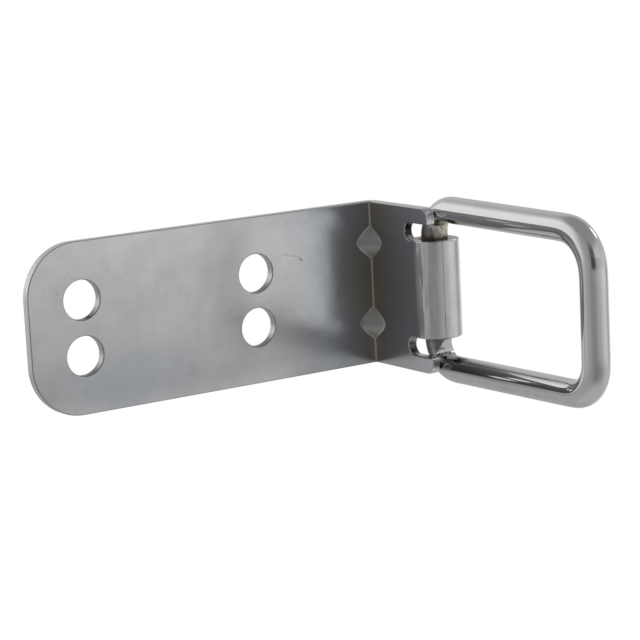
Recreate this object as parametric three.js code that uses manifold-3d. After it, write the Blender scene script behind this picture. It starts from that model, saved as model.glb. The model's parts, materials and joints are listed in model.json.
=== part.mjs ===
// Hinged ring hasp: a folded steel strap with four bolt holes, whose end is rolled into a
// knuckle that carries a rectangular ring of round rod.
//
// Millimetres, +Z up. The origin is on the strap's back face, at the centre of the four bolt
// holes. The long leg runs along X to the bend, its back face looking along +Y, and the short
// leg runs forward from the bend along -Y. The ring's pin is parallel to Z.

import * as THREE from "three";
import { mergeVertices } from "three/addons/utils/BufferGeometryUtils.js";
import Module from "manifold-3d";

const wasm = await Module();
wasm.setup();

// ---------------------------------------------------------------- driving dimensions

const strapWidth = 50;
const strapThickness = 3;
const longLegLength = 117.4;      // end of the strap to the inside of the bend
const shortLegLength = 29;        // inside of the bend to the ends of the ears
const bendInnerRadius = 0.5;
const plateCornerRadius = 15.5;   // the long leg's two free corners

const boltHoleRadius = 5.8;
const boltNearColumn = 41.9;      // distances from the inside of the bend
const boltFarColumn = 100.3;
const boltRowOffset = 8.1;        // each row, above and below the strap's middle

const earWidth = 5;
const earCornerRadius = 2;
const slotWidth = 5.25;           // cut between each ear and the knuckle
const slotEnd = 17.5;             // inside of the bend to the bottom of the slot

const rodRadius = 4;
const pinClearance = 0.3;         // around the pin, and between the ring and the ears
const knuckleWrap = 298;          // degrees of roll, from the strap's front face
const ringReach = 72.9;           // pin axis to the middle of the far bar
const ringPinHalfHeight = 24.1;   // to the middle of the top and bottom bars, at the pin,
const ringFarHalfHeight = 23.3;   // and at the far bar, because they draw together a little
const ringPinBend = 7;            // centre-line bend radii
const ringFarBend = 10;
const ringEndGap = 0.4;           // where the rod's two ends meet, inside the knuckle

const gussetOffset = 12.5;        // each gusset, above and below the strap's middle
const gussetHalfHeight = 5.3;
const gussetLongReach = 5;        // reach along the long leg, and along the short leg
const gussetShortReach = 5.6;
const gussetWall = 3.1;           // steel left behind the gusset's ridge

// ---------------------------------------------------------------- worked out from those

const boltCentre = (boltNearColumn + boltFarColumn) / 2;
const halfWidth = strapWidth / 2;
const knuckleHalfHeight = halfWidth - earWidth - slotWidth;
const boreRadius = rodRadius + pinClearance;
const knuckleRadius = boreRadius + strapThickness;
const pinX = knuckleRadius;       // the roll starts tangent to the strap's front face
const pinDistance = shortLegLength - 6.3;
const overlap = 2;                // how far joined solids run into each other

const zincGrey = 0x9da0a2;
const brightSteel = 0xc9ccce;
const curveSteps = 12;

// ---------------------------------------------------------------- solids

/** A closed geometry as a solid that can be joined and cut. */
function solidOf(geometry) {
  const bare = geometry.index ? geometry.toNonIndexed() : geometry.clone();
  bare.deleteAttribute("normal");
  bare.deleteAttribute("uv");
  const merged = mergeVertices(bare, 1e-4);
  const mesh = new wasm.Mesh({
    numProp: 3,
    vertProperties: new Float32Array(merged.attributes.position.array),
    triVerts: new Uint32Array(merged.index.array),
  });
  return new wasm.Manifold(mesh);
}

/** A solid as a geometry for a three.js mesh. */
function geometryOf(solid) {
  const { vertProperties, triVerts } = solid.getMesh();
  const geometry = new THREE.BufferGeometry();
  geometry.setAttribute("position", new THREE.BufferAttribute(vertProperties, 3));
  geometry.setIndex(new THREE.BufferAttribute(triVerts, 1));
  geometry.computeVertexNormals();
  return geometry;
}

function extrude(shape, depth) {
  return new THREE.ExtrudeGeometry(shape, { depth, bevelEnabled: false, curveSegments: curveSteps });
}

/** A shape drawn in XY, extruded evenly above and below z = 0. */
function standing(shape, height) {
  return extrude(shape, height).translate(0, 0, -height / 2);
}

function roundHole(x, y, radius) {
  const hole = new THREE.Path();
  hole.absarc(x, y, radius, 0, 2 * Math.PI, true);
  return hole;
}

// ---------------------------------------------------------------- strap

/** The long leg: a plate drawn in XZ, with two round corners and four bolt holes. */
function longLeg() {
  const end = -longLegLength;
  const shape = new THREE.Shape();
  shape.moveTo(-bendInnerRadius, -halfWidth);
  shape.lineTo(-bendInnerRadius, halfWidth);
  shape.lineTo(end + plateCornerRadius, halfWidth);
  shape.absarc(end + plateCornerRadius, halfWidth - plateCornerRadius, plateCornerRadius,
    Math.PI / 2, Math.PI, false);
  shape.absarc(end + plateCornerRadius, plateCornerRadius - halfWidth, plateCornerRadius,
    Math.PI, 1.5 * Math.PI, false);
  for (const column of [boltNearColumn, boltFarColumn]) {
    for (const row of [-boltRowOffset, boltRowOffset]) {
      shape.holes.push(roundHole(-column, row, boltHoleRadius));
    }
  }
  // Turned up from XY into XZ, the extrusion runs from y = 0 back to the strap's thickness.
  return solidOf(extrude(shape, strapThickness).rotateX(Math.PI / 2).translate(0, strapThickness, 0));
}

/** The bend: a quarter of a thick-walled tube. */
function bend() {
  const centre = -bendInnerRadius;
  const shape = new THREE.Shape();
  shape.absarc(centre, centre, bendInnerRadius + strapThickness, 0, Math.PI / 2, false);
  shape.absarc(centre, centre, bendInnerRadius, Math.PI / 2, 0, true);
  return solidOf(standing(shape, strapWidth));
}

/** The short leg: a plate drawn in YZ, slotted on both sides of the tongue that is rolled up. */
function shortLeg() {
  const earInside = halfWidth - earWidth;
  const slotRadius = slotWidth / 2;
  const slotMiddle = knuckleHalfHeight + slotRadius;
  const shape = new THREE.Shape();
  shape.moveTo(-bendInnerRadius, halfWidth);
  shape.lineTo(-bendInnerRadius, -halfWidth);
  shape.lineTo(earCornerRadius - shortLegLength, -halfWidth);
  shape.absarc(earCornerRadius - shortLegLength, earCornerRadius - halfWidth, earCornerRadius,
    -Math.PI / 2, -Math.PI, true);
  shape.lineTo(-shortLegLength, -earInside);
  shape.lineTo(-slotEnd - slotRadius, -earInside);
  shape.absarc(-slotEnd - slotRadius, -slotMiddle, slotRadius, -Math.PI / 2, Math.PI / 2, false);
  shape.lineTo(-pinDistance, -knuckleHalfHeight);
  shape.lineTo(-pinDistance, knuckleHalfHeight);
  shape.lineTo(-slotEnd - slotRadius, knuckleHalfHeight);
  shape.absarc(-slotEnd - slotRadius, slotMiddle, slotRadius, -Math.PI / 2, Math.PI / 2, false);
  shape.lineTo(-shortLegLength, earInside);
  shape.lineTo(-shortLegLength, halfWidth - earCornerRadius);
  shape.absarc(earCornerRadius - shortLegLength, halfWidth - earCornerRadius, earCornerRadius,
    Math.PI, Math.PI / 2, true);
  // XY is turned to YZ by naming the drawing's own axes in the object's.
  const toYZ = new THREE.Matrix4().makeBasis(
    new THREE.Vector3(0, 1, 0), new THREE.Vector3(0, 0, 1), new THREE.Vector3(1, 0, 0));
  return solidOf(extrude(shape, strapThickness).applyMatrix4(toYZ));
}

/** The knuckle: the tongue's end, rolled back round the pin. */
function knuckle() {
  const start = Math.PI;
  const end = start + THREE.MathUtils.degToRad(knuckleWrap);
  const shape = new THREE.Shape();
  shape.moveTo(strapThickness, overlap - pinDistance);
  shape.lineTo(0, overlap - pinDistance);
  shape.lineTo(0, -pinDistance);
  for (const [radius, from, to] of [[knuckleRadius, start, end], [boreRadius, end, start]]) {
    const steps = 4 * curveSteps;
    for (let i = 0; i <= steps; i++) {
      const angle = from + (to - from) * i / steps;
      shape.lineTo(pinX + radius * Math.cos(angle), radius * Math.sin(angle) - pinDistance);
    }
  }
  return solidOf(standing(shape, 2 * knuckleHalfHeight));
}

/** How far a gusset is pressed in, from 1 at its middle to 0 at its top and bottom. */
function gussetDraw(height) {
  const roundness = 0.12;
  const fall = (t) => Math.sqrt(t * t + roundness);
  return (fall(1) - fall(height / gussetHalfHeight)) / (fall(1) - fall(0));
}

/**
 * A prism along the gusset's ridge, which joins the two legs across the inside of the bend.
 * Its section's face follows gussetDraw between the two distances from the inside corner.
 */
function gussetPrism(height, faceAtEnds, faceAtMiddle, back, length) {
  const rise = (z) => faceAtEnds + (faceAtMiddle - faceAtEnds) * gussetDraw(z);
  const shape = new THREE.Shape();
  shape.moveTo(back, gussetHalfHeight);
  shape.lineTo(back, -gussetHalfHeight);
  for (let i = 0; i <= 2 * curveSteps; i++) {
    const z = gussetHalfHeight * (i / curveSteps - 1);
    shape.lineTo(rise(z), z);
  }
  const inward = new THREE.Vector3(-gussetShortReach, -gussetLongReach, 0).normalize();
  const up = new THREE.Vector3(0, 0, 1);
  const along = new THREE.Vector3().crossVectors(inward, up);
  const middle = new THREE.Vector3(-gussetLongReach, -gussetShortReach, 0).divideScalar(2);
  const ridgeMiddle = along.clone().multiplyScalar(middle.dot(along)).setZ(height);
  const place = new THREE.Matrix4().makeBasis(inward, up, along).setPosition(ridgeMiddle);
  return solidOf(extrude(shape, length).translate(0, 0, -length / 2).applyMatrix4(place));
}

function strap() {
  const ridgeLength = Math.hypot(gussetLongReach, gussetShortReach);
  const ridgeDistance = gussetLongReach * gussetShortReach / ridgeLength;
  // The ribs run into the steel and are cut off there, short of the strap's back.
  const ribRoot = new THREE.BoxGeometry(strapWidth, strapWidth, strapWidth);
  ribRoot.translate(overlap - halfWidth, overlap - halfWidth, 0);
  const inFront = solidOf(ribRoot);
  let solid = longLeg().add(bend()).add(shortLeg()).add(knuckle());
  for (const height of [-gussetOffset, gussetOffset]) {
    const rib = gussetPrism(height, 0, ridgeDistance, -1, ridgeLength + overlap).intersect(inFront);
    const dent = gussetPrism(height, -gussetWall, ridgeDistance - gussetWall, -8, 30);
    solid = solid.add(rib).subtract(dent);
  }
  return geometryOf(solid);
}

// ---------------------------------------------------------------- ring

/** A curve through a list of points, which an extrusion meets one by one. */
class Centreline extends THREE.Curve {
  constructor(points) {
    super();
    this.points = points;
  }

  getPoint(t, target = new THREE.Vector3()) {
    return target.copy(this.points[Math.round(t * (this.points.length - 1))]);
  }

  getPointAt(u, target) {
    return this.getPoint(u, target);
  }

  getTangentAt(u, target = new THREE.Vector3()) {
    const last = this.points.length - 1;
    const i = Math.round(u * last);
    return target.subVectors(this.points[Math.min(i + 1, last)], this.points[Math.max(i - 1, 0)]).normalize();
  }
}

/** The rod's centre-line in the plane x = pinX, from one end round to the other. */
function ringCentreline() {
  const pinY = -pinDistance;
  const farY = pinY - ringReach;
  const corners = [
    { y: pinY, z: ringPinHalfHeight, radius: ringPinBend },
    { y: farY, z: ringFarHalfHeight, radius: ringFarBend },
    { y: farY, z: -ringFarHalfHeight, radius: ringFarBend },
    { y: pinY, z: -ringPinHalfHeight, radius: ringPinBend },
  ];
  const start = new THREE.Vector3(pinX, pinY, ringEndGap / 2);
  const end = new THREE.Vector3(pinX, pinY, -ringEndGap / 2);
  const stops = [start, ...corners.map(({ y, z }) => new THREE.Vector3(pinX, y, z)), end];
  const points = [start];
  corners.forEach(({ radius }, index) => {
    const [before, corner, after] = stops.slice(index, index + 3);
    const back = before.clone().sub(corner).normalize();
    const ahead = after.clone().sub(corner).normalize();
    const halfAngle = back.angleTo(ahead) / 2;
    const inward = back.clone().add(ahead).normalize();
    const centre = corner.clone().addScaledVector(inward, radius / Math.sin(halfAngle));
    const tangentPoint = corner.clone().addScaledVector(back, radius / Math.tan(halfAngle));
    const spoke = tangentPoint.sub(centre);
    const turn = (Math.PI - 2 * halfAngle) / curveSteps;
    for (let i = 0; i <= curveSteps; i++) {
      points.push(spoke.clone().applyAxisAngle(new THREE.Vector3(1, 0, 0), turn * i).add(centre));
    }
  });
  points.push(end);
  return new Centreline(points);
}

function ring() {
  const path = ringCentreline();
  const section = new THREE.Shape();
  section.absarc(0, 0, rodRadius, 0, 2 * Math.PI, false);
  const rod = new THREE.ExtrudeGeometry(section, {
    steps: path.points.length - 1,
    curveSegments: curveSteps,
    extrudePath: path,
    bevelEnabled: false,
  });
  return geometryOf(solidOf(rod));
}

// ---------------------------------------------------------------- assembly

function part(name, geometry, color, roughness) {
  const mesh = new THREE.Mesh(geometry, new THREE.MeshStandardMaterial({ color, roughness, metalness: 1 }));
  mesh.name = name;
  return mesh;
}

const hasp = new THREE.Group();
hasp.add(part("strap", strap(), zincGrey, 0.4));
hasp.add(part("ring", ring(), brightSteel, 0.15));
hasp.position.set(boltCentre, -strapThickness, 0);

export default hasp;
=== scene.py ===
"""Hinged ring hasp: a folded, bright plated steel strap whose rolled knuckle carries a ring of round rod.

Shapes are worked out in millimetres, with the strap's inside corner as their origin, and are placed from
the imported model. Each piece is one mesh: the strap is drawn flat, as a blank, and then folded and rolled
up as the real one is, and the ring is one rod swept round its bends.
"""
import json
import math

import bpy
import numpy as np
from mathutils import Matrix, Vector
from mathutils.geometry import delaunay_2d_cdt


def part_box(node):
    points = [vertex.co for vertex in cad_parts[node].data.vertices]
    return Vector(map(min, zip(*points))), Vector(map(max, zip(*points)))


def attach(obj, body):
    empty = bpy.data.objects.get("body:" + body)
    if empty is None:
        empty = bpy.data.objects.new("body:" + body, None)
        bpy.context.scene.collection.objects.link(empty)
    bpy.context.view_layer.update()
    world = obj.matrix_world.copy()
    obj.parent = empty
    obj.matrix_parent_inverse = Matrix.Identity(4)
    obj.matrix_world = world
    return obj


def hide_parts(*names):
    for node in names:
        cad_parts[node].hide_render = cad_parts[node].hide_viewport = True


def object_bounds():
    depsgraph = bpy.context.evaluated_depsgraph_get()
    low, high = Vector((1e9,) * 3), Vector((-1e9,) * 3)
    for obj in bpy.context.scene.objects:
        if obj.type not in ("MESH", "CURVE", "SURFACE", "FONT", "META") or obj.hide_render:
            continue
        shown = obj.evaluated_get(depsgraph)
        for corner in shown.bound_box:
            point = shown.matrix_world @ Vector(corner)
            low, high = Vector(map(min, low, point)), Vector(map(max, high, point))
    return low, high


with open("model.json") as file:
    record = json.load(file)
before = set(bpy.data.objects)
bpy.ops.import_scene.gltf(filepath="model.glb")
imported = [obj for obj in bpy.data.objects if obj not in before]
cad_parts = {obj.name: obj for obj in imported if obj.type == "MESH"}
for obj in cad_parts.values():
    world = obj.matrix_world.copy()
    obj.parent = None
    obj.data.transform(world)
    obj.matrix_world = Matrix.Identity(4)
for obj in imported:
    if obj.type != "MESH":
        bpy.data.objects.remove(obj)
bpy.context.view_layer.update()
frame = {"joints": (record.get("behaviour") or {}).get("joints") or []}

MM = 0.001

# ------------------------------------------------------------------ sizes, in millimetres

PIN_DISTANCE = 22.7          # inside of the bend to the pin's axis
BEND_RADIUS = 0.5
PLATE_CORNER = 15.5
SHORT_LEG = 29.0

HOLE_RADIUS = 5.8
HOLE_COLUMNS = (41.9, 100.3)
HOLE_ROW = 8.1

EAR_WIDTH = 5.0
EAR_CORNER = 2.6
SLOT_WIDTH = 5.25
SLOT_END = 17.5
SHEARED_CORNER = 0.5         # small round on the blank's other corners
EDGE_ROUND = 0.40            # rollover of the sheared edges
PLATED_STRIPS = (3, 2)       # how much of it looks like the faces, in strips from the front and back

PIN_CLEARANCE = 0.3
KNUCKLE_WRAP = math.radians(298)

GUSSET_HEIGHT = 12.5
GUSSET_HALF = 5.3
GUSSET_LONG = 5.0
GUSSET_SHORT = 5.6
GUSSET_WALL = 3.1
GUSSET_ROUNDNESS = 0.2

RING_PIN_HALF = 24.1          # to the middle of the top and bottom bars, at the pin,
RING_FAR_HALF = 23.3          # and at the far bar, because they draw together a little
RING_PIN_BEND = (13.7, 2.8)   # outer and inner bend radii: the rod is drawn thin round its pin's bends
RING_FAR_BENDS = ((14.7, 8.8), (13.2, 6.2))  # top and bottom: bent by hand, so not quite alike
RING_END_GAP = 0.4
PRESS_MARKS = ((1, 0.65, 0.12), (-1, 0.03, 0.24))  # on the pin: side, depth at the knuckle, growth

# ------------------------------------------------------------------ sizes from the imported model

pin = np.array(frame["joints"][0]["pos_m"]) / MM
strap_low, strap_high = (np.array(corner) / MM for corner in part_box("strap"))
ring_low, ring_high = (np.array(corner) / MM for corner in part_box("ring"))

ROD = (ring_high[0] - ring_low[0]) / 2
RING_REACH = pin[1] - ROD - ring_low[1]
HALF_WIDTH = strap_high[2]
KNUCKLE_HALF = HALF_WIDTH - EAR_WIDTH - SLOT_WIDTH
CORNER = pin + np.array([0.0, PIN_DISTANCE, 0.0])
THICKNESS = strap_high[1] - CORNER[1]
BORE = ROD + PIN_CLEARANCE
KNUCKLE = BORE + THICKNESS
CORNER[0] -= KNUCKLE
LONG_LEG = CORNER[0] - strap_low[0]

# Distances along the blank, from where the bend starts: negative on the long leg, and positive through
# the bend, along the short leg and round the knuckle's roll, all at the middle of the thickness.
BEND_END = (BEND_RADIUS + THICKNESS / 2) * math.pi / 2
ROLL_START = BEND_END + PIN_DISTANCE - BEND_RADIUS
ROLL_RADIUS = BORE + THICKNESS / 2
ROLL_END = ROLL_START + ROLL_RADIUS * KNUCKLE_WRAP


# ------------------------------------------------------------------ mesh helpers

def make_object(name, points, faces, materials=(), face_slots=None):
    """A mesh object from points in millimetres from the strap's inside corner."""
    mesh = bpy.data.meshes.new(name)
    mesh.from_pydata((points + CORNER) * MM, [], faces)
    for material in materials:
        mesh.materials.append(material)
    if face_slots is not None:
        mesh.polygons.foreach_set("material_index", face_slots)
    mesh.shade_smooth()
    mesh.update()
    made = bpy.data.objects.new(name, mesh)
    bpy.context.scene.collection.objects.link(made)
    return made


def unit(vectors):
    return vectors / np.linalg.norm(vectors, axis=-1, keepdims=True)


def smooth_max(a, b, width):
    return 0.5 * (a + b + np.sqrt((a - b) ** 2 + width ** 2))


# ------------------------------------------------------------------ the strap's blank

def line(start, end, steps=1):
    """Points from start up to, and not including, end."""
    t = np.arange(steps)[:, None] / steps
    return np.array(start) * (1 - t) + np.array(end) * t


def arc(centre, radius, start, end, step=math.radians(5)):
    """Points round an arc, both ends included, with angles in degrees."""
    start, end = math.radians(start), math.radians(end)
    count = max(2, math.ceil(abs(end - start) / step) + 1)
    angles = np.linspace(start, end, count)
    return np.array(centre) + radius * np.stack([np.cos(angles), np.sin(angles)], axis=1)


def blank_outline():
    """The blank's outline, anticlockwise, as (distance along, height) points."""
    far = BEND_RADIUS - LONG_LEG
    ear_end = BEND_END + SHORT_LEG - BEND_RADIUS
    ear_inside = HALF_WIDTH - EAR_WIDTH
    slot_radius = SLOT_WIDTH / 2
    slot_centre = BEND_END + SLOT_END - BEND_RADIUS + slot_radius
    slot_height = KNUCKLE_HALF + slot_radius
    small = SHEARED_CORNER
    lower = [
        arc((far + PLATE_CORNER, PLATE_CORNER - HALF_WIDTH), PLATE_CORNER, 180, 270),
        line((far + PLATE_CORNER + 2, -HALF_WIDTH), (0, -HALF_WIDTH), 20),
        line((0, -HALF_WIDTH), (BEND_END, -HALF_WIDTH), 14),
        line((BEND_END, -HALF_WIDTH), (ear_end - EAR_CORNER, -HALF_WIDTH), 10),
        arc((ear_end - EAR_CORNER, EAR_CORNER - HALF_WIDTH), EAR_CORNER, -90, 0),
        arc((ear_end - small, -ear_inside - small), small, 0, 90, math.radians(15)),
        line((ear_end - 1, -ear_inside), (slot_centre + 1, -ear_inside), 4),
        arc((slot_centre, -slot_height), slot_radius, -90, -270)[:-1],
        line((slot_centre, -KNUCKLE_HALF), (ROLL_START, -KNUCKLE_HALF), 4),
        line((ROLL_START, -KNUCKLE_HALF), (ROLL_END - small, -KNUCKLE_HALF), 100),
        arc((ROLL_END - small, small - KNUCKLE_HALF), small, -90, 0, math.radians(15)),
    ]
    lower = np.concatenate(lower)
    upper = lower[::-1] * (1, -1)
    return np.concatenate([lower, upper])


def blank_holes():
    """The bolt holes, clockwise, so that the steel is on their left as it is inside the outline."""
    loops = []
    for column in HOLE_COLUMNS:
        for height in (-HOLE_ROW, HOLE_ROW):
            loops.append(arc((BEND_RADIUS - column, height), HOLE_RADIUS, 360, 0)[:-1])
    return loops


def outward(loop):
    """Each point's offset for one unit of growth, square to the edges that meet there."""
    ahead = unit(np.roll(loop, -1, axis=0) - loop)
    behind = np.roll(ahead, 1, axis=0)
    right_ahead = np.stack([ahead[:, 1], -ahead[:, 0]], axis=1)
    right_behind = np.stack([behind[:, 1], -behind[:, 0]], axis=1)
    middle = unit(right_ahead + right_behind)
    return middle / np.sum(middle * right_ahead, axis=1, keepdims=True)


def edge_distance(points, loops):
    """Distance from each point to the nearest edge of the loops."""
    nearest = np.full(len(points), np.inf)
    for loop in loops:
        for start, end in zip(loop, np.roll(loop, -1, axis=0)):
            along = end - start
            t = np.clip((points - start) @ along / (along @ along), 0, 1)
            gap = points - (start + t[:, None] * along)
            nearest = np.minimum(nearest, np.hypot(gap[:, 0], gap[:, 1]))
    return nearest


def is_inside(points, loop):
    """Whether each point is inside a loop, by how often a line from it crosses the loop."""
    inside = np.zeros(len(points), bool)
    for (x0, y0), (x1, y1) in zip(loop, np.roll(loop, -1, axis=0)):
        if y0 != y1:
            crosses = (points[:, 1] < y0) != (points[:, 1] < y1)
            where = x0 + (points[:, 1] - y0) * (x1 - x0) / (y1 - y0)
            inside ^= crosses & (points[:, 0] < where)
    return inside


def grid(columns, rows):
    u, z = np.meshgrid(columns, rows)
    return np.stack([u.ravel(), z.ravel()], axis=1)


def blank_grid(loops):
    """Points inside the blank: fine where it is bent, pressed or rolled, and coarse on the flats."""
    reach = 8.0
    fine, coarse = 0.36, 3.0
    far = -LONG_LEG
    gusset = np.arange(-GUSSET_HALF - 1, GUSSET_HALF + 1.01, fine)
    plain = np.arange(-HALF_WIDTH + 1, HALF_WIDTH, 1.6)
    plain = plain[np.abs(np.abs(plain) - GUSSET_HEIGHT) > GUSSET_HALF + 1.8]
    bend_rows = np.concatenate([gusset - GUSSET_HEIGHT, gusset + GUSSET_HEIGHT, plain])
    roll_step = ROLL_RADIUS * math.radians(2.98)
    points = np.concatenate([
        grid(np.arange(far + 1, -reach - 1, coarse), np.arange(-HALF_WIDTH + 2, HALF_WIDTH, 3.3)),
        grid(np.arange(-reach, BEND_END + reach, fine), bend_rows),
        grid(np.arange(BEND_END + reach + 1, ROLL_START, 1.5), np.arange(-HALF_WIDTH + 1.3, HALF_WIDTH, 2.0)),
        grid(np.arange(ROLL_START, ROLL_END, roll_step), np.linspace(-KNUCKLE_HALF, KNUCKLE_HALF, 21)[1:-1]),
    ])
    outline, holes = loops[0], loops[1:]
    keep = is_inside(points, outline) & (edge_distance(points, loops) > 0.3)
    for hole in holes:
        keep &= ~is_inside(points, hole)
    return points[keep]


# ------------------------------------------------------------------ folding the blank

def fold(flat, depth):
    """
    Where a point of the blank goes, depth below its front face, and which way the blank runs there.
    flat is an array of (distance along, height), and depth goes from 0 to the thickness.
    """
    u, z = flat[:, 0], flat[:, 1]
    rolled = (u > ROLL_START) & (np.abs(z) < KNUCKLE_HALF + SLOT_WIDTH / 2)
    bend_angle = np.clip(u / BEND_END, 0, 1) * math.pi / 2
    roll_angle = np.where(rolled, (u - ROLL_START) / ROLL_RADIUS, 0)
    before = np.minimum(u, 0)
    after = np.where(rolled, ROLL_START, np.maximum(u, BEND_END)) - BEND_END
    x = -BEND_RADIUS + before + (BEND_RADIUS + depth) * np.sin(bend_angle)
    y = -BEND_RADIUS - after + (BEND_RADIUS + depth) * np.cos(bend_angle)
    x = np.where(rolled, KNUCKLE - (KNUCKLE - depth) * np.cos(roll_angle), x)
    y = np.where(rolled, -PIN_DISTANCE - (KNUCKLE - depth) * np.sin(roll_angle), y)
    heading = bend_angle - roll_angle
    heading = np.where(rolled, math.pi / 2 - roll_angle, heading)
    runs = np.stack([np.cos(heading), -np.sin(heading), np.zeros(len(u))], axis=1)
    return np.stack([x, y, z], axis=1), runs


RIDGE = math.hypot(GUSSET_LONG, GUSSET_SHORT)
INWARD = np.array([-GUSSET_SHORT, -GUSSET_LONG, 0]) / RIDGE


def gusset_draw(z):
    """How far the gussets are pressed in at a height: 1 at a gusset's middle, below 0 clear of them."""
    t = (np.abs(z) - GUSSET_HEIGHT) / GUSSET_HALF
    end = math.sqrt(1 + GUSSET_ROUNDNESS)
    return (end - np.sqrt(t * t + GUSSET_ROUNDNESS)) / (end - math.sqrt(GUSSET_ROUNDNESS))


def press_gussets(points, front):
    """Pushes the points of one face of the bend in to the gussets' ribs, or to the dents behind them."""
    ridge = GUSSET_LONG * GUSSET_SHORT / RIDGE
    draw = gusset_draw(points[:, 2])
    face = ridge * draw if front else -GUSSET_WALL + ridge * draw
    depth = points @ INWARD
    crease = 0.25 if front else 0.9
    too_small, reach = 0.004, 12
    push = np.maximum(smooth_max(depth, face, crease) - depth - too_small, 0)
    near = (points[:, 0] > -reach) & (points[:, 1] > -reach)
    return points + np.where(near, push, 0)[:, None] * INWARD


def face_points(flat, front):
    points, _ = fold(flat, 0.0 if front else THICKNESS)
    return press_gussets(points, front)


def face_normals(flat, front):
    """The folded and pressed face's own normals, from a small step each way along the blank."""
    step = 0.02
    along = face_points(flat + (step, 0), front) - face_points(flat - (step, 0), front)
    up = face_points(flat + (0, step), front) - face_points(flat - (0, step), front)
    normals = unit(np.cross(along, up))
    return normals if front else -normals


def triangulate(loops):
    """The blank's points, which start with the loops' own, and its triangles, with the holes left open."""
    edges, start = [], 0
    for loop in loops:
        count = len(loop)
        edges += [(start + i, start + (i + 1) % count) for i in range(count)]
        start += count
    flat = np.concatenate([*loops, blank_grid(loops)])
    out, _, triangles, origins, _, _ = delaunay_2d_cdt([Vector(p) for p in flat], edges, [], 1, 1e-6)
    placed = np.array([list(p) for p in out])
    source = np.array([own[0] if own else -1 for own in origins])
    centres = np.array([placed[list(t)].mean(axis=0) for t in triangles])
    keep = is_inside(centres, loops[0])
    for hole in loops[1:]:
        keep &= ~is_inside(centres, hole)
    return flat, [tuple(source[list(t)]) for t, kept in zip(triangles, keep) if kept]


def edge_profile():
    """The sheared edge from front to back: how far in, how deep, and the normal's tilt to the front."""
    steps = 5
    front = []
    for i in range(steps + 1):
        tilt = math.pi / 2 * (1 - i / steps)
        front.append((EDGE_ROUND * (1 - math.cos(tilt)), EDGE_ROUND * (1 - math.sin(tilt)), tilt))
    back = [(inward, THICKNESS - depth, -tilt) for inward, depth, tilt in reversed(front)]
    return front + back


def edge_ring(outline, grow, inward, depth, tilt):
    """The points and normals of one row along the sheared edges, at one place of their profile."""
    points, runs = fold(outline - grow * inward, depth)
    side = unit(grow)
    outwards = side[:, :1] * runs + side[:, 1:] * np.array([0.0, 0.0, 1.0])
    front_way = np.stack([runs[:, 1], -runs[:, 0], np.zeros(len(runs))], axis=1)
    return points, math.cos(tilt) * outwards + math.sin(tilt) * front_way


def build_strap(materials):
    """The whole strap as one closed mesh, with its sheared edges rounded over."""
    loops = [blank_outline()] + blank_holes()
    grows = [outward(loop) for loop in loops]
    flat, triangles = triangulate([loop - grow * EDGE_ROUND for loop, grow in zip(loops, grows)])

    count = len(flat)
    points = [face_points(flat, True), face_points(flat, False)]
    normals = [face_normals(flat, True), face_normals(flat, False)]
    faces = triangles + [tuple(i + count for i in t[::-1]) for t in triangles]
    slots = [0] * len(faces)

    # The two faces' own outlines are the first and the last row of the edges.
    row_starts = [0]
    for place in edge_profile()[1:-1]:
        row_starts.append(sum(len(group) for group in points))
        row, row_normals = edge_ring(np.concatenate(loops), np.concatenate(grows), *place)
        points.append(row)
        normals.append(row_normals)
    row_starts.append(count)
    strips = list(zip(row_starts, row_starts[1:]))
    for strip, (near, far) in enumerate(strips):
        sheared = PLATED_STRIPS[0] <= strip < len(strips) - PLATED_STRIPS[1]
        start = 0
        for loop in loops:
            size = len(loop)
            for i in range(size):
                j = (i + 1) % size
                faces.append((near + start + i, far + start + i, far + start + j, near + start + j))
                slots.append(int(sheared))
            start += size
    strap = make_object("strap_plate", np.concatenate(points), faces, materials, slots)
    strap.data.normals_split_custom_set_from_vertices(unit(np.concatenate(normals)).tolist())
    return strap


# ------------------------------------------------------------------ the ring

def rod_stations():
    """The rod's outer and inner lines in the ring's plane, from end to end, as (y, z, y, z) rows."""
    pin_y = -PIN_DISTANCE
    far_y = pin_y - RING_REACH
    corners = (
        (pin_y, RING_PIN_HALF, RING_PIN_BEND),
        (far_y, RING_FAR_HALF, RING_FAR_BENDS[0]),
        (far_y, -RING_FAR_HALF, RING_FAR_BENDS[1]),
        (pin_y, -RING_PIN_HALF, RING_PIN_BEND),
    )
    start, end = (pin_y, RING_END_GAP / 2), (pin_y, -RING_END_GAP / 2)
    stops = np.array([start, *((y, z) for y, z, _ in corners), end])
    outwards = np.array([ROD, 0.0])
    rows = [(*(stops[0] + outwards), *(stops[0] - outwards))]
    # The heading is the way out of the ring. It turns from +Y to +Z, and so on round the ring.
    heading = 0.0
    for before, corner, after, (_, _, (outer_bend, inner_bend)) in zip(stops, stops[1:], stops[2:], corners):
        back, ahead = unit(before - corner), unit(after - corner)
        half_angle = math.acos(back @ ahead) / 2
        inwards = unit(back + ahead) / math.sin(half_angle)
        outer_centre = corner + inwards * (outer_bend - ROD)
        inner_centre = corner + inwards * (inner_bend + ROD)
        turn = math.pi - 2 * half_angle
        for angle in np.linspace(heading, heading + turn, 41):
            way = np.array([math.cos(angle), math.sin(angle)])
            rows.append((*(outer_centre + outer_bend * way), *(inner_centre + inner_bend * way)))
        heading += turn
    rows.append((*(stops[-1] + outwards), *(stops[-1] - outwards)))
    rows = np.array(rows)
    stations = []
    for row, following in zip(rows, rows[1:]):
        steps = max(1, math.ceil(np.hypot(*(following - row)[:2])))
        stations += [row + (following - row) * i / steps for i in range(steps)]
    return ease_far_bends(np.array(stations + [rows[-1]]))


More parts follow.
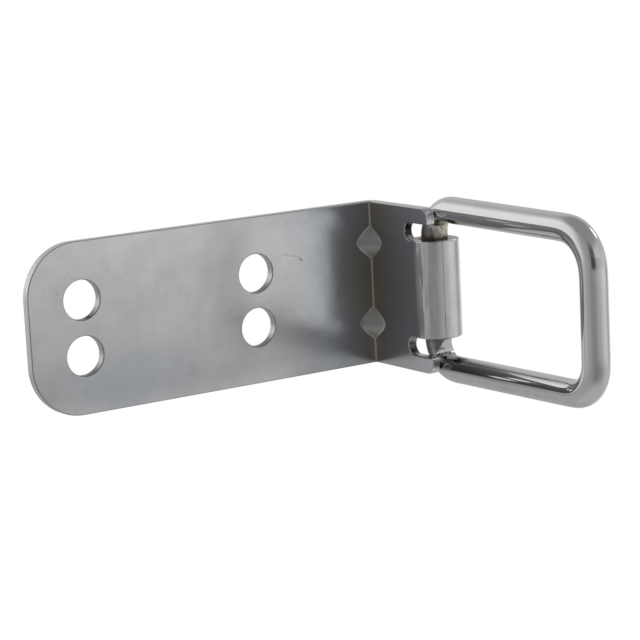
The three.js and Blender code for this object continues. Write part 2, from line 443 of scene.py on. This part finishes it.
def ease_far_bends(stations):
    """Lets the far bends start and end gradually, as bends made by hand do."""
    reach = 9
    weights = np.hanning(2 * reach + 1)
    padded = np.pad(stations, ((reach, reach), (0, 0)), "edge")
    eased = sum(w * padded[i:i + len(stations)] for i, w in enumerate(weights)) / weights.sum()
    far = stations[:, :1] < -PIN_DISTANCE - RING_REACH / 2
    return np.where(far, eased, stations)


def press_corners(points):
    """Squares up the inside of the bends next to the pin, as the bending die does."""
    height = np.abs(points[:, 2])
    near_pin = points[:, 1] > -PIN_DISTANCE - ROD - RING_PIN_BEND[1]
    under_bar = RING_PIN_HALF - ROD - height
    moved = points.copy()
    for side, depth, growth in PRESS_MARKS:
        wall = -PIN_DISTANCE - ROD + depth + growth * (height - KNUCKLE_HALF)
        past_wall = wall - points[:, 1]
        pressed = near_pin & (points[:, 2] * side > 0) & (under_bar > 0)
        sideways = pressed & (past_wall < under_bar)
        upwards = pressed & (past_wall > under_bar)
        moved[sideways, 1] = smooth_max(points[:, 1], wall, 0.05)[sideways]
        moved[upwards, 2] = side * (RING_PIN_HALF - ROD)
    return moved


def build_ring(materials):
    sides = 72
    around = np.arange(sides) * 2 * math.pi / sides
    points = []
    stations = rod_stations()
    chamfer = 0.5
    sizes = np.ones(len(stations))
    sizes[[0, -1]] = 1 - chamfer / ROD
    for station, size in zip(stations, sizes):
        middle = (station[:2] + station[2:]) / 2
        half = (station[:2] - station[2:]) / 2 * size
        ring = np.outer(np.cos(around), (0.0, *half))
        ring[:, 0] = np.sin(around) * ROD * size
        points.append(ring + (KNUCKLE, *middle))
    faces = []
    for station in range(len(stations) - 1):
        for i in range(sides):
            j = (i + 1) % sides
            a, b = station * sides + i, station * sides + j
            faces.append((a, b, b + sides, a + sides))
    last = (len(stations) - 1) * sides
    faces.append(tuple(range(sides))[::-1])
    faces.append(tuple(last + i for i in range(sides)))
    return make_object("ring_rod", press_corners(np.concatenate(points)), faces, materials)


# ------------------------------------------------------------------ materials

class Tree:
    """A small helper that adds shader nodes and links them."""

    def __init__(self, owner):
        owner.use_nodes = True
        self.nodes = owner.node_tree.nodes
        self.links = owner.node_tree.links
        self.nodes.clear()

    def feed(self, socket, value):
        """Links another node's output to a socket, or sets the socket's own number or colour."""
        if isinstance(value, bpy.types.NodeSocket):
            self.links.new(value, socket)
        else:
            socket.default_value = value

    def add(self, kind, settings=None, **inputs):
        """Adds a node. Its inputs are given by name, or by number after an underscore."""
        node = self.nodes.new(kind)
        for key, value in (settings or {}).items():
            setattr(node, key, value)
        for key, value in inputs.items():
            socket = node.inputs[int(key[1:])] if key[0] == "_" else node.inputs[key.replace("_", " ")]
            self.feed(socket, value)
        return node

    def math(self, operation, a, b=0.0, c=0.0):
        return self.add("ShaderNodeMath", {"operation": operation}, _0=a, _1=b, _2=c).outputs[0]

    def below(self, value, limit):
        return self.math("LESS_THAN", value, limit)

    def above(self, value, limit):
        return self.math("GREATER_THAN", value, limit)

    def overlap(self, first, *others):
        """Where all the masks are 1."""
        for mask in others:
            first = self.math("MULTIPLY", first, mask)
        return first

    def spread(self, value, low, high, new_low=0.0, new_high=1.0, smooth=False):
        kind = "SMOOTHSTEP" if smooth else "LINEAR"
        node = self.add("ShaderNodeMapRange", {"interpolation_type": kind},
                        _0=value, _1=low, _2=high, _3=new_low, _4=new_high)
        return node.outputs[0]

    def vector(self, operation, a, **inputs):
        return self.add("ShaderNodeVectorMath", {"operation": operation}, _0=a, **inputs).outputs

    def noise(self, vector, scale, detail=2.0, roughness=0.5):
        return self.add("ShaderNodeTexNoise", Vector=vector, Scale=scale, Detail=detail,
                        Roughness=roughness).outputs[0]

    def stretched(self, vector, scale):
        return self.add("ShaderNodeMapping", Vector=vector, Scale=scale).outputs[0]

    def ramp(self, value, stops, smooth=False):
        node = self.add("ShaderNodeValToRGB", Fac=value)
        node.color_ramp.interpolation = "EASE" if smooth else "LINEAR"
        elements = node.color_ramp.elements
        while len(elements) < len(stops):
            elements.new(0.5)
        for element, (position, colour) in zip(elements, stops):
            element.position = position
            colour = colour if isinstance(colour, tuple) else (colour,) * 3
            element.color = (*colour, 1.0)
        return node.outputs[0]

    def blend(self, factor, a, b, mode="MIX"):
        node = self.add("ShaderNodeMix", {"data_type": "RGBA", "blend_type": mode}, _0=factor, _6=a, _7=b)
        return node.outputs[2]

    def times(self, a, b):
        return self.blend(1.0, a, b, "MULTIPLY")

    def bump(self, height, distance, normal=None):
        extra = {} if normal is None else {"Normal": normal}
        return self.add("ShaderNodeBump", Height=height, Distance=distance, **extra).outputs[0]

    def metal(self, colour, roughness, normal):
        shader = self.add("ShaderNodeBsdfPrincipled", Base_Color=colour, Roughness=roughness, Metallic=1.0,
                          Normal=normal)
        self.add("ShaderNodeOutputMaterial", Surface=shader.outputs[0])


class Place:
    """
    Where a shaded point is. raw is its object space position in metres, which the noises use, and position,
    x, y and z are in millimetres from an origin, which is itself given from the strap's inside corner.
    """

    def __init__(self, tree, origin=(0.0, 0.0, 0.0)):
        self.tree = tree
        self.raw = tree.add("ShaderNodeTexCoord").outputs["Object"]
        offset = tree.vector("SUBTRACT", self.raw, _1=list((CORNER + origin) * MM))[0]
        self.position = tree.vector("SCALE", offset, Scale=1 / MM)[0]
        self.x, self.y, self.z = tree.add("ShaderNodeSeparateXYZ", Vector=self.position).outputs
        self.height = tree.math("ABSOLUTE", self.z)

    def mark_gap(self, centre, halves, tilt=0.0):
        """
        How far a point is from a mark's centre on the strap's long leg, where 1 is the mark's edge. The
        centre and the half sizes are along x and z, and the tilt is in degrees.
        """
        any_depth = 1000.0
        scaled = self.tree.add("ShaderNodeMapping", {"vector_type": "TEXTURE"}, Vector=self.position,
                               Location=(centre[0], 0.0, centre[1]), Rotation=(0.0, math.radians(tilt), 0.0),
                               Scale=(halves[0], any_depth, halves[1])).outputs[0]
        return self.tree.vector("LENGTH", scaled)["Value"]


class StrapPlace(Place):
    """Where a point of the strap's faces is, with the places that their tones share."""

    def __init__(self, tree):
        super().__init__(tree)
        self.from_short = tree.math("ABSOLUTE", self.x)
        self.from_long = tree.math("ABSOLUTE", self.y)
        self.up_strap = tree.spread(self.z, -HALF_WIDTH, HALF_WIDTH)
        self.on_front = tree.below(self.y, THICKNESS / 3)
        self.on_knuckle = tree.below(self.height, KNUCKLE_HALF + 0.01)


def flat_tone(tree, at, patches):
    """The long leg's plating: mottled, with painted shade over its lower half, a painted highlight at its
    very lower edge, and painted light towards its top.
    """
    tone = tree.ramp(tree.spread(patches, 0.33, 0.67), (
        (0.0, (0.605, 0.615, 0.635)), (0.5, (0.665, 0.672, 0.678)), (1.0, (0.720, 0.724, 0.718))))
    # Painted light by height: shade over the lower half, lighter towards the top, and a lighter line along
    # the very lower edge.
    tone = tree.times(tone, tree.ramp(at.up_strap, (
        (0.00, 0.96), (0.12, 0.83), (0.34, 0.92), (0.50, 1.02), (0.85, 1.13), (1.00, 1.19))))
    mottle = tree.spread(tree.noise(at.raw, 110.0, 3.0, 0.6), 0.3, 0.7, 0.965, 1.035)
    streaks = tree.noise(tree.stretched(at.raw, (0.12, 0.12, 1.0)), 900.0, 3.0, 0.6)
    tone = tree.times(tone, tree.math("MULTIPLY", mottle, tree.spread(streaks, 0.3, 0.7, 0.99, 1.01)))
    # A bluish water stain near the strap's free end.
    ragged = tree.spread(tree.noise(at.raw, 90.0, 3.0), 0.3, 0.7, -0.35, 0.35)
    stain_gap = tree.math("ADD", at.mark_gap((-87, -16.5), (17, 7.5)), ragged)
    stain = tree.spread(stain_gap, 1.35, 0.55, 0.0, 0.6, smooth=True)
    return tree.blend(tree.overlap(stain, at.on_front), tone, (0.500, 0.535, 0.600, 1))


def fold_shade_tone(tree, at, from_bend):
    """Painted shade inside the bend: darkest and brownish in the corner, bluish further out, and varied by
    height with painted shade and painted highlights.
    """
    tone = tree.ramp(tree.spread(from_bend, 0.0, 30.0), (
        (0.00, (0.400, 0.375, 0.335)), (0.10, (0.405, 0.400, 0.388)), (0.30, (0.480, 0.493, 0.518)),
        (0.55, (0.570, 0.598, 0.645)), (0.80, (0.640, 0.660, 0.690)), (1.00, (0.665, 0.672, 0.675))))
    # Painted shade low on the long leg, and painted highlights low and high on the short leg's inside.
    long_leg = tree.ramp(at.up_strap, ((0.00, 0.72), (0.14, 0.75), (0.30, 0.93), (0.42, 1.0), (1.00, 1.04)))
    short_leg = tree.ramp(at.up_strap, (
        (0.00, (1.38, 1.38, 1.41)), (0.10, (1.50, 1.51, 1.54)), (0.22, (1.34, 1.34, 1.36)),
        (0.34, (1.12, 1.10, 1.10)), (0.50, (0.98, 0.95, 0.92)), (0.66, (0.96, 0.95, 0.94)),
        (0.80, (1.02, 1.02, 1.03)), (0.96, (1.17, 1.17, 1.21))))
    on_short = tree.spread(tree.math("SUBTRACT", at.from_long, at.from_short), -3.0, 3.0, smooth=True)
    return tree.times(tone, tree.blend(on_short, long_leg, short_leg))


def scratched_tone(tree, at, tone):
    """Adds a scratch beside the upper near hole, with a faint tail."""
    scratch = tree.spread(at.mark_gap((-25.9, 10.3), (1.0, 0.24), 40), 1.3, 0.6, 0.0, 0.75)
    tail = tree.spread(at.mark_gap((-29.4, 11.9), (2.8, 0.3), 12), 1.4, 0.6, 0.0, 0.2)
    scratched = tree.overlap(tree.math("MAXIMUM", scratch, tail), at.on_front)
    return tree.blend(scratched, tone, (0.15, 0.15, 0.15, 1))


def edge_line_tone(tree, at, tone):
    """Adds a dark line of painted shade along the long leg's front, where it rolls over to the sheared edge.
    """
    behind_face = tree.spread(at.y, 0.01, 0.08)
    before_shear = tree.spread(at.y, EDGE_ROUND + 0.02, EDGE_ROUND - 0.06)
    rolled_over = tree.overlap(behind_face, before_shear, tree.below(at.x, -1.0))
    return tree.blend(tree.math("MULTIPLY", rolled_over, 0.55), tone, (0.25, 0.25, 0.25, 1))


def roll_mask(tree, at):
    """Where the strap is rolled up as the knuckle."""
    from_pin = tree.add("ShaderNodeCombineXYZ", _0=tree.math("SUBTRACT", at.x, KNUCKLE),
                        _1=tree.math("ADD", at.y, PIN_DISTANCE)).outputs[0]
    near_pin = tree.spread(tree.vector("LENGTH", from_pin)["Value"], KNUCKLE + 0.5, KNUCKLE + 0.1)
    curled = tree.math("MAXIMUM", tree.spread(at.x, 0.4, 1.4, smooth=True),
                       tree.spread(at.y, 1.0 - PIN_DISTANCE, -0.6 - PIN_DISTANCE, smooth=True))
    return tree.overlap(curled, at.on_knuckle, near_pin)


def strap_normal(tree, at):
    """Fine grain and unevenness, and drawn folds that run up the knuckle where its roll starts."""
    grain = tree.noise(tree.stretched(at.raw, (0.35, 0.35, 3.0)), 2600.0, 3.0, 0.6)
    orange_peel = tree.noise(at.raw, 420.0, 2.0)
    folds = tree.noise(tree.stretched(at.raw, (1.0, 1.0, 0.06)), 700.0, 1.0)
    at_start = tree.overlap(at.on_knuckle, tree.spread(at.x, 3.0, 1.0, smooth=True),
                            tree.spread(at.y, 2.2 - PIN_DISTANCE, 0.2 - PIN_DISTANCE, smooth=True))
    normal = tree.bump(grain, 0.0035 * MM)
    normal = tree.bump(orange_peel, 0.01 * MM, normal)
    return tree.bump(tree.math("MULTIPLY", folds, at_start), 0.3 * MM, normal)


def zinc_material():
    """Plated strip: satin, with painted shade inside the bend and painted light varying up the legs, and
    burnished on the roll.
    """
    material = bpy.data.materials.new("zinc_strip")
    tree = Tree(material)
    at = StrapPlace(tree)
    beyond_front = tree.math("MAXIMUM", at.x, at.y)
    pressed = tree.spread(beyond_front, -0.2, -0.6, smooth=True)
    roll = roll_mask(tree, at)

    # The bend's painted shade reaches unevenly out of it, and over the whole of the short leg's inside.
    patches = tree.noise(at.raw, 30.0, 4.0, 0.55)
    from_bend = tree.math("MAXIMUM", at.from_short, tree.math("MULTIPLY", at.from_long, 0.25))
    from_bend = tree.math("MULTIPLY_ADD", tree.math("SUBTRACT", patches, 0.5), 10.0, from_bend)
    fold_shade = tree.overlap(tree.spread(from_bend, 34.0, 24.0, smooth=True),
                        tree.spread(beyond_front, 2.2, 0.8, smooth=True))
    tone = tree.blend(fold_shade, flat_tone(tree, at, patches), fold_shade_tone(tree, at, from_bend))
    tone = scratched_tone(tree, at, tone)
    tone = tree.blend(pressed, tone, (0.405, 0.400, 0.390, 1))
    tone = edge_line_tone(tree, at, tone)
    smudges = tree.noise(tree.stretched(at.raw, (1.0, 1.0, 0.3)), 260.0, 4.0, 0.6)
    rolled_tone = tree.ramp(smudges, (
        (0.30, (0.63, 0.63, 0.62)), (0.52, (0.73, 0.735, 0.735)), (0.70, (0.78, 0.785, 0.785))))
    tone = tree.blend(roll, tone, rolled_tone)
    specks = tree.spread(tree.noise(at.raw, 1500.0, 1.0), 0.73, 0.78, 0.0, 0.5)
    tone = tree.blend(specks, tone, (0.32, 0.32, 0.31, 1))

    satin = tree.spread(tree.noise(at.raw, 160.0, 4.0, 0.6), 0.3, 0.7, 0.17, 0.25)
    rough = tree.math("MULTIPLY", satin, tree.spread(roll, 0.0, 1.0, 1.0, 0.45))
    rough = tree.math("MULTIPLY_ADD", pressed, 0.22, rough)
    tree.metal(tone, rough, strap_normal(tree, at))
    return material


def cut_edge_material():
    """The sheared edges: rougher, with the punch's marks, and with blotchy painted shade on the two slots'
    walls.
    """
    material = bpy.data.materials.new("sheared_edge")
    tree = Tree(material)
    at = Place(tree)
    marks = tree.noise(at.raw, 1900.0, 3.0, 0.65)
    tone = tree.ramp(marks, ((0.3, 0.64), (0.7, 0.82)))

    # Blotchy painted shade on the slots' walls.
    in_slot = tree.overlap(tree.above(at.height, KNUCKLE_HALF - 0.1),
                           tree.below(at.height, KNUCKLE_HALF + SLOT_WIDTH + 0.1),
                           tree.below(at.y, 1.5 - SLOT_END))
    slot_shade = tree.ramp(tree.noise(at.raw, 520.0, 3.0, 0.6), (
        (0.40, (0.07, 0.06, 0.05)), (0.52, (0.36, 0.35, 0.33)), (0.64, (0.62, 0.61, 0.58))))
    tone = tree.blend(tree.math("MULTIPLY", in_slot, 0.75), tone, slot_shade)

    # The holes' walls are darkened with painted shade, most at the bottom of each hole. One of them is
    # chipped.
    in_hole = tree.overlap(tree.below(at.height, HOLE_ROW + HOLE_RADIUS + 0.5),
                           tree.below(at.x, HOLE_RADIUS + 2 - HOLE_COLUMNS[0]),
                           tree.above(at.x, 5 - LONG_LEG))
    up_hole = tree.math("SUBTRACT", at.z, tree.math("MULTIPLY", tree.math("SIGN", at.z), HOLE_ROW))
    hole_shade = tree.ramp(tree.spread(up_hole, -HOLE_RADIUS, HOLE_RADIUS), (
        (0.0, 0.25), (0.12, 0.40), (0.30, 0.80), (1.0, 0.72)))
    tone = tree.blend(in_hole, tone, tree.times(tone, hole_shade))
    chip = tree.spread(at.mark_gap((-98.3, 2.9), (0.9, 0.8)), 1.1, 0.7)
    tone = tree.blend(chip, tone, (0.03, 0.03, 0.04, 1))

    # The ears' ends carry painted glints, as bright specks.
    on_end = tree.spread(at.y, 0.6 - SHORT_LEG, 0.2 - SHORT_LEG)
    tone = tree.blend(on_end, tone, tree.ramp(marks, ((0.40, 0.60), (0.50, 1.0))))

    bands = tree.noise(tree.stretched(at.raw, (1.0, 1.0, 4.0)), 450.0, 2.0)
    tree.metal(tone, tree.spread(bands, 0.3, 0.7, 0.16, 0.34), tree.bump(marks, 0.02 * MM))
    return material


def pin_film_and_light_tone(tree, at, smears, past_knuckle):
    """The oil on the pin: yellowish above the knuckle, with painted shade towards -X, and grey below it, with
    painted shade across the pin and a painted highlight on one side.
    """
    oily = tree.ramp(smears, (
        (0.38, (0.20, 0.17, 0.12)), (0.50, (0.46, 0.42, 0.32)), (0.62, (0.76, 0.71, 0.52))))
    # Above the knuckle, painted shade on the side towards -X.
    towards_front = tree.spread(at.x, 0.2, -1.4, smooth=True)
    upper = tree.blend(towards_front, oily, (0.20, 0.185, 0.165, 1))
    # Below the knuckle: painted shade across the pin, and a painted highlight on the side that faces this
    # way, reaching further round as it gets lower.
    lit_way = (0.835, -0.55)
    across = tree.math("MULTIPLY_ADD", at.x, lit_way[0], tree.math("MULTIPLY", at.y, lit_way[1]))
    film_and_shade = tree.ramp(tree.spread(across, -4.0, 2.0), ((0.0, 0.48), (0.5, 0.20), (1.0, 0.13)))
    lit_side = tree.spread(tree.math("MULTIPLY_ADD", past_knuckle, 0.75, across), 2.0, 2.6, smooth=True)
    lower = tree.blend(lit_side, film_and_shade, (0.82, 0.82, 0.82, 1))
    return tree.blend(tree.spread(at.z, 0.0, 1.0), lower, upper)


def rod_material():
    """Plated rod: nearly a mirror, slightly uneven, rougher and oily where it leaves the knuckle, with
    painted shade and painted highlights there and on the lower bar.
    """
    material = bpy.data.materials.new("bright_rod")
    tree = Tree(material)
    at = Place(tree, (KNUCKLE, -PIN_DISTANCE, 0.0))
    smears = tree.noise(at.raw, 420.0, 4.0, 0.65)
    past_knuckle = tree.math("SUBTRACT", at.height, KNUCKLE_HALF)
    drift = tree.math("MULTIPLY_ADD", tree.math("SUBTRACT", smears, 0.5), 4.0, past_knuckle)
    on_pin = tree.below(tree.math("ABSOLUTE", at.y), ROD + 1.5)

    tone = tree.ramp(tree.noise(at.raw, 90.0, 3.0), ((0.35, (0.77, 0.77, 0.775)), (0.65, (0.80, 0.80, 0.80))))
    # The passivation leaves a faint lilac and green cast on the far bar.
    lilac, green = (1.0, 0.965, 1.0, 1), (0.975, 1.0, 0.995, 1)
    cast = tree.blend(tree.spread(at.x, -3.5, -0.5, smooth=True), lilac, green)
    far_bar = tree.spread(at.y, 14 - RING_REACH, 4 - RING_REACH, smooth=True)
    tone = tree.times(tone, tree.blend(far_bar, (1.0, 1.0, 1.0, 1), cast))

    film_and_shade = tree.overlap(on_pin, tree.spread(drift, 6.75, 2.75, 0.0, 0.85, smooth=True))
    tone = tree.blend(film_and_shade, tone, pin_film_and_light_tone(tree, at, smears, past_knuckle))
    # The upper side of the lower bar is darkened with painted shade, less so away from the pin, and its lower
    # side is darker in blotches.
    bar_shade = tree.overlap(tree.spread(at.y, -58.0, -12.0, 0.0, 0.8, smooth=True),
                         tree.spread(at.z, -0.4 - RING_PIN_HALF, 1.3 - RING_PIN_HALF, smooth=True),
                         tree.below(at.z, ROD + 0.1 - RING_PIN_HALF))
    tone = tree.blend(bar_shade, tone, (0.27, 0.25, 0.25, 1))
    blotched_underside = tree.overlap(tree.spread(at.z, 0.3 - RING_PIN_HALF, -1.1 - RING_PIN_HALF, smooth=True),
                         tree.spread(smears, 0.35, 0.65, 0.15, 0.55))
    tone = tree.blend(blotched_underside, tone, (0.56, 0.54, 0.56, 1))
    # Painted shade against the knuckle's ends, where the pin goes in, more at the top.
    knuckle_shade = tree.overlap(on_pin, tree.spread(drift, 1.85, 0.25, smooth=True),
                         tree.spread(at.z, -1.0, 1.0, 0.3, 1.0))
    tone = tree.blend(knuckle_shade, tone, (0.09, 0.07, 0.05, 1))

    rough = tree.spread(tree.noise(at.raw, 240.0, 4.0, 0.6), 0.3, 0.7, 0.05, 0.09)
    rough = tree.math("ADD", rough, tree.overlap(on_pin, tree.spread(drift, 4.25, 0.25, 0.0, 0.3)))
    tree.metal(tone, rough, tree.bump(tree.noise(at.raw, 700.0, 2.0), 0.004 * MM))
    return material


# ------------------------------------------------------------------ studio

def bearing(degrees):
    """A bearing as a ramp position: 0 degrees is -Y, and it grows towards +X."""
    return 0.5 + degrees / 360


def build_world():
    """A plain studio: white to the camera and to soft surfaces, with its light and dark sides in gloss."""
    world = bpy.data.worlds.new("studio")
    bpy.context.scene.world = world
    tree = Tree(world)
    way = tree.add("ShaderNodeTexCoord").outputs["Generated"]
    x, y, height = tree.add("ShaderNodeSeparateXYZ", Vector=way).outputs
    angle = tree.math("ARCTAN2", x, tree.math("MULTIPLY", y, -1.0))
    around = tree.spread(angle, -math.pi, math.pi)

    # Each band of the room, from the floor up: the heights over which it takes over from the one
    # below, and how bright it is by bearing.
    bands = (
        (None, ((-180, 0.46), (180, 0.46))),
        ((-0.90, -0.50), ((-180, 0.43), (-90, 0.35), (-60, 0.28), (-40, 0.22), (5, 0.30), (33, 0.45),
                          (60, 0.55), (90, 0.52), (120, 0.60), (150, 0.46), (180, 0.43))),
        ((-0.32, -0.12), ((-180, 0.45), (-152, 0.66), (-141, 0.32), (-130, 0.55), (-90, 0.39), (-58, 0.28),
                          (-38, 0.29), (-5, 0.45), (20, 0.56), (34, 0.68), (47, 0.73), (62, 0.65), (86, 0.38),
                          (112, 0.80), (150, 0.58), (180, 0.45))),
        ((-0.08, 0.04), ((-180, 0.55), (-150, 0.88), (-125, 0.80), (-90, 0.38), (-58, 0.28), (-47, 0.07),
                         (-24, 0.07), (-12, 0.34), (0, 0.42), (20, 0.50), (60, 0.60), (120, 0.50),
                         (180, 0.55))),
        ((0.24, 0.36), ((-180, 0.55), (-150, 0.88), (-125, 0.80), (-90, 0.38), (-58, 0.30), (-47, 0.11),
                        (-24, 0.11), (-10, 0.50), (20, 0.58), (60, 0.50), (120, 0.50), (180, 0.55))),
        ((0.50, 0.85), ((-180, 0.28), (180, 0.28))),
    )
    gloss = None
    for heights, stops in bands:
        ramp = tree.ramp(around, [(bearing(degrees), value) for degrees, value in stops], True)
        gloss = ramp if gloss is None else tree.blend(tree.spread(height, *heights, smooth=True), gloss, ramp)
    # A small lamp, high on the +X side.
    lamp_bearing, lamp_height = math.radians(96), math.radians(31)
    towards_lamp = (math.sin(lamp_bearing) * math.cos(lamp_height),
                    -math.cos(lamp_bearing) * math.cos(lamp_height), math.sin(lamp_height))
    near_lamp = tree.vector("DOT_PRODUCT", way, _1=towards_lamp)["Value"]
    lamp_edge, lamp_core = math.cos(math.radians(9)), math.cos(math.radians(5))
    lamp = tree.spread(near_lamp, lamp_edge, lamp_core, smooth=True)
    gloss = tree.blend(lamp, gloss, (2.5, 2.5, 2.5, 1))
    path = tree.add("ShaderNodeLightPath")
    seen = tree.blend(path.outputs["Is Glossy Ray"], (1.0, 1.0, 1.0, 1), gloss)
    light = tree.add("ShaderNodeBackground", Color=seen)
    tree.add("ShaderNodeOutputWorld", Surface=light.outputs[0])


def build_floor():
    """A pale floor below the object, which shades it, and isn't seen itself, from above or from below."""
    size, drop = 6.0, 0.25
    mesh = bpy.data.meshes.new("floor")
    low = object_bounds()[0][2] - drop
    mesh.from_pydata([(-size, -size, low), (size, -size, low), (size, size, low), (-size, size, low)], [],
                     [(0, 1, 2, 3)])
    floor = bpy.data.objects.new("floor", mesh)
    bpy.context.scene.collection.objects.link(floor)
    material = bpy.data.materials.new("pale_floor")
    tree = Tree(material)
    shader = tree.add("ShaderNodeBsdfPrincipled", Base_Color=(0.9, 0.9, 0.9, 1), Roughness=0.9,
                      Emission_Color=(1, 1, 1, 1), Emission_Strength=0.25)
    tree.add("ShaderNodeOutputMaterial", Surface=shader.outputs[0])
    mesh.materials.append(material)
    floor.visible_camera = False
    floor.visible_glossy = False


def build_camera():
    """A long lens, a little above the object and to the strap's left, tilted slightly."""
    azimuth, elevation, roll = math.radians(-33.42), math.radians(10.14), math.radians(2.90)
    distance = 0.73502
    aim = Vector((0.05605, 0.00466, -0.01060))
    back = Vector((math.sin(azimuth) * math.cos(elevation), -math.cos(azimuth) * math.cos(elevation),
                   math.sin(elevation)))
    right = Vector((math.cos(azimuth), math.sin(azimuth), 0))
    up = back.cross(right)
    turned_right = math.cos(roll) * right - math.sin(roll) * up
    turned_up = math.sin(roll) * right + math.cos(roll) * up
    matrix = Matrix((turned_right, turned_up, back)).transposed().to_4x4()
    matrix.translation = aim + back * distance
    data = bpy.data.cameras.new("camera")
    data.sensor_width = 36.0
    data.lens = 135.1
    data.clip_start = 0.01
    camera = bpy.data.objects.new("camera", data)
    camera.matrix_world = matrix
    bpy.context.scene.collection.objects.link(camera)
    bpy.context.scene.camera = camera


# ------------------------------------------------------------------ the scene

bpy.context.scene.view_settings.view_transform = "Standard"
build_camera()
build_world()

zinc = zinc_material()
strap = build_strap([zinc, cut_edge_material()])
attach(strap, "strap")
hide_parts("strap")

ring = build_ring([rod_material()])
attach(ring, "ring")
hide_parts("ring")

build_floor()
